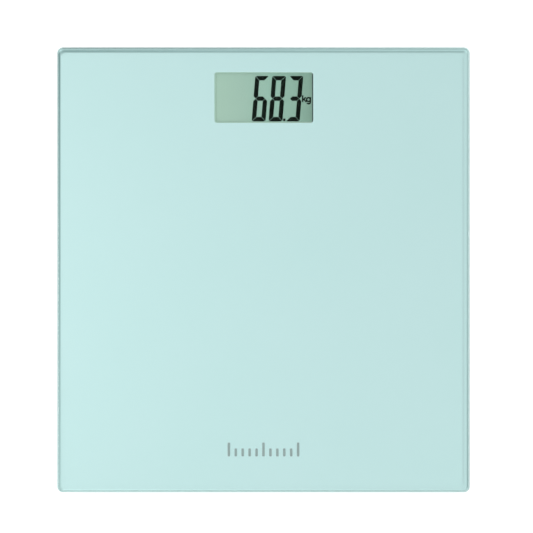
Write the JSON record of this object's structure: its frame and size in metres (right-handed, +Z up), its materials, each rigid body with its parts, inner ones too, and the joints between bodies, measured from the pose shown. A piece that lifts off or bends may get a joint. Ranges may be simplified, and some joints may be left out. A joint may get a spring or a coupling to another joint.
{
  "type": "bathroom scale",
  "caption": "Thin rectangular glass platform on load-cell feet, with a digital display window near one edge, used to weigh a person standing on it.",
  "frame": {"origin": "on the floor under the middle of the platform", "axes": "+Z up, +Y from the user towards the display, +X to the user's right"},
  "size_m": [0.28, 0.302, 0.022],
  "materials": {
    "platform_glass": "clear tempered float glass, 5 mm, with polished edges",
    "colour_print": "pale aqua ink printed under the glass",
    "glue": "thin translucent adhesive",
    "white_plastic": "fine-textured moulded white plastic",
    "grey_plastic": "fine-textured moulded grey plastic",
    "pad_rubber": "dark grey non-slip rubber",
    "cell_steel": "stamped and plated steel",
    "screw_steel": "zinc-plated steel",
    "gauge_potting": "soft white silicone over the strain gauge",
    "cell_cable": "smooth insulated wire in several colours",
    "lcd_glass": "clear thin glass and polarising film",
    "lcd_reflector": "grey-green reflective film",
    "contact_rubber": "layered silicone contact strip",
    "circuit_board": "green solder resist",
    "black_resin": "black moulded or poured resin",
    "battery_steel": "bright nickel-plated steel"
  },
  "bodies": {
    "platform_body": {"battery": "battery_steel", "battery_contact_minus": "cell_steel", "battery_contact_plus": "cell_steel", "board_screw_1": "screw_steel", "board_screw_2": "screw_steel", "board_screw_3": "screw_steel", "board_screw_4": "screw_steel", "cable_cover_left": "white_plastic", "cable_cover_right": "white_plastic", "capacitor": "battery_steel", "cell_carrier_back_left": "grey_plastic", "cell_carrier_back_right": "grey_plastic", "cell_carrier_front_left": "grey_plastic", "cell_carrier_front_right": "grey_plastic", "cell_lead_back_left": "cell_cable", "cell_lead_back_right": "cell_cable", "cell_lead_front_left": "cell_cable", "cell_lead_front_right": "cell_cable", "chip_cover": "black_resin", "circuit_board": "circuit_board", "colour_print": "colour_print", "contact_strip": "contact_rubber", "crystal": "battery_steel", "display_housing": "white_plastic", "foot_back_left": "grey_plastic", "foot_back_right": "grey_plastic", "foot_front_left": "grey_plastic", "foot_front_right": "grey_plastic", "foot_glue_back_left": "glue", "foot_glue_back_right": "glue", "foot_glue_front_left": "glue", "foot_glue_front_right": "glue", "foot_housing_back_left": "white_plastic", "foot_housing_back_right": "white_plastic", "foot_housing_front_left": "white_plastic", "foot_housing_front_right": "white_plastic", "foot_pad_back_left": "pad_rubber", "foot_pad_back_right": "pad_rubber", "foot_pad_front_left": "pad_rubber", "foot_pad_front_right": "pad_rubber", "front_polariser": "lcd_glass", "glass_platform": "platform_glass", "housing_glue": "glue", "lcd_frame": "white_plastic", "lcd_front_glass": "lcd_glass", "lcd_rear_glass": "lcd_glass", "lcd_reflector": "lcd_reflector", "load_cell_back_left": "cell_steel", "load_cell_back_right": "cell_steel", "load_cell_front_left": "cell_steel", "load_cell_front_right": "cell_steel", "strain_gauge_back_left": "gauge_potting", "strain_gauge_back_right": "gauge_potting", "strain_gauge_front_left": "gauge_potting", "strain_gauge_front_right": "gauge_potting", "unit_switch": "black_resin"},
    "battery_door_body": {"battery_door": "white_plastic"},
    "unit_button_body": {"unit_button": "grey_plastic", "switch_plunger": "black_resin"}
  },
  "joints": [
    {"name": "unit_button_press", "type": "slide", "parent": "platform_body", "child": "unit_button_body", "axis": [0, 0, 1], "range_m": [0, 0.0006], "stiffness_N_per_m": 500, "springref_m": -0.0006},
    {"name": "battery_door_hinge", "type": "hinge", "parent": "platform_body", "child": "battery_door_body", "pos_m": [0, 0.0877, 0.005], "axis": [1, 0, 0], "range_deg": [0, 95]}
  ]
}
